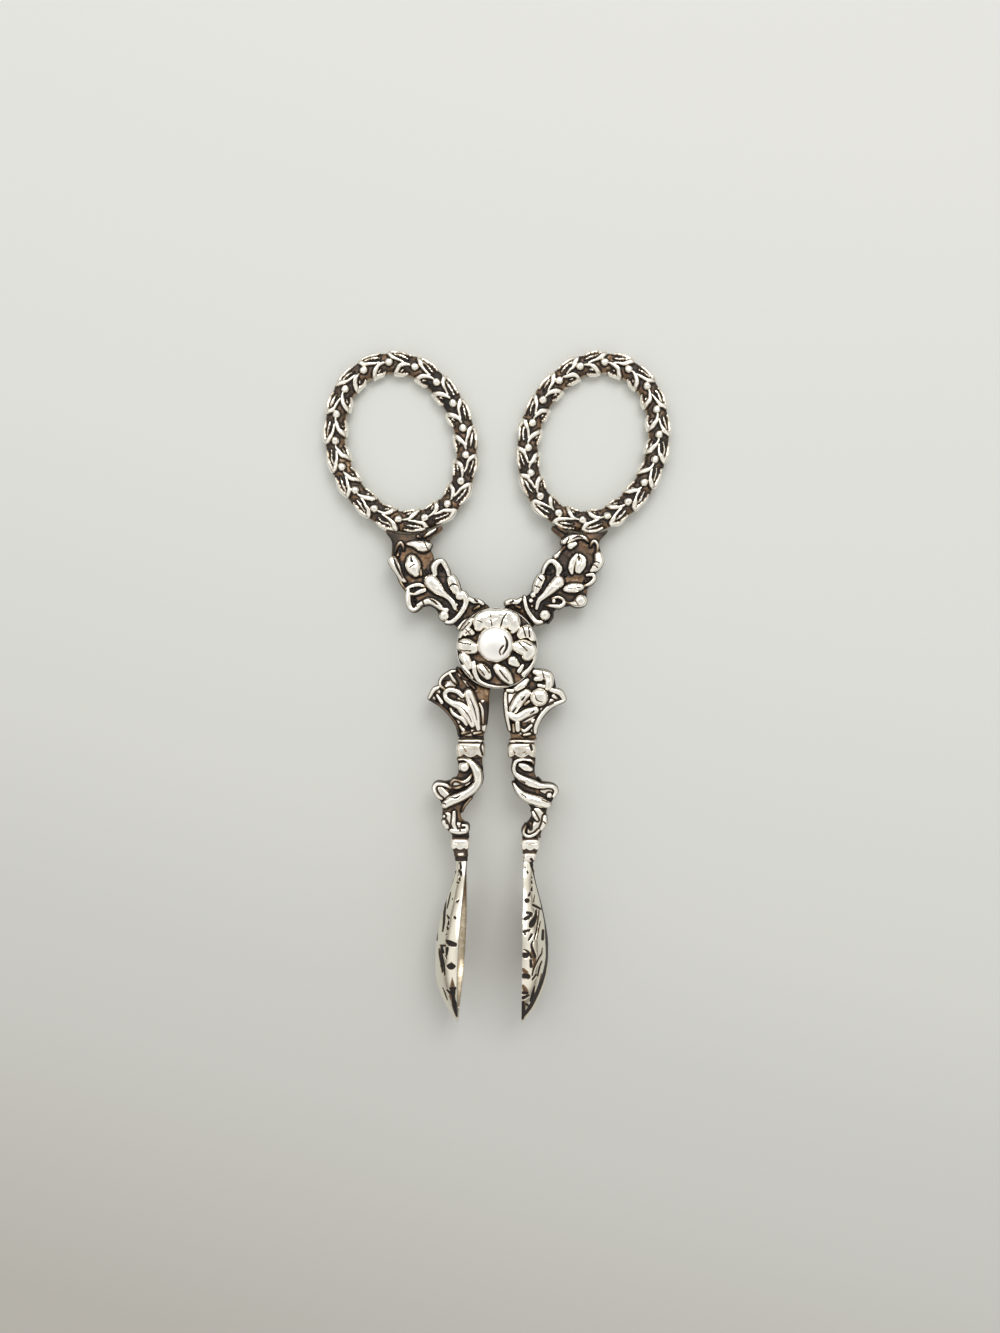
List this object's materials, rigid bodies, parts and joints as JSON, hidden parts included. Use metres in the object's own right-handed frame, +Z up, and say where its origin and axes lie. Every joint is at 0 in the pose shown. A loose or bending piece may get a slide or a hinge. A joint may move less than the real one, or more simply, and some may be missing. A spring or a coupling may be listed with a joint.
{
  "type": "sugar nips",
  "caption": "Scissor-form cast silver sugar nips with laurel finger rings, leaf and scroll arms, a flower boss at the pivot and pointed bowls that face each other.",
  "frame": {"origin": "middle of the bounding box, on the table that the nips rest on", "axes": "+Y from the bowls to the finger rings, +Z up, decorated side up, +X to the right of a viewer who looks down with the rings at the top"},
  "size_m": [0.0596, 0.1147, 0.0132],
  "materials": {
    "silver": "polished cast silver with dark patina in the recesses",
    "bowl_silver": "polished silver, engraved outside and faintly gilt inside",
    "rivet_silver": "mirror polished silver"
  },
  "bodies": {
    "front_arm": {"front_finger_ring": "silver", "front_leaf_panel": "silver", "front_hub": "silver", "front_shoulder_leaf": "silver", "front_collar": "silver", "front_scroll": "silver", "front_ferrule": "silver", "front_bowl": "bowl_silver", "rosette": "silver", "pivot_rivet": "rivet_silver"},
    "back_arm": {"back_finger_ring": "silver", "back_leaf_panel": "silver", "back_hub": "silver", "back_shoulder_leaf": "silver", "back_collar": "silver", "back_scroll": "silver", "back_ferrule": "silver", "back_bowl": "bowl_silver"}
  },
  "joints": [
    {"name": "pivot", "type": "hinge", "parent": "front_arm", "child": "back_arm", "pos_m": [0, 0.00658, 0.00397], "axis": [0, 0.0525, 0.9986], "range_deg": [-40, 9.2]}
  ]
}
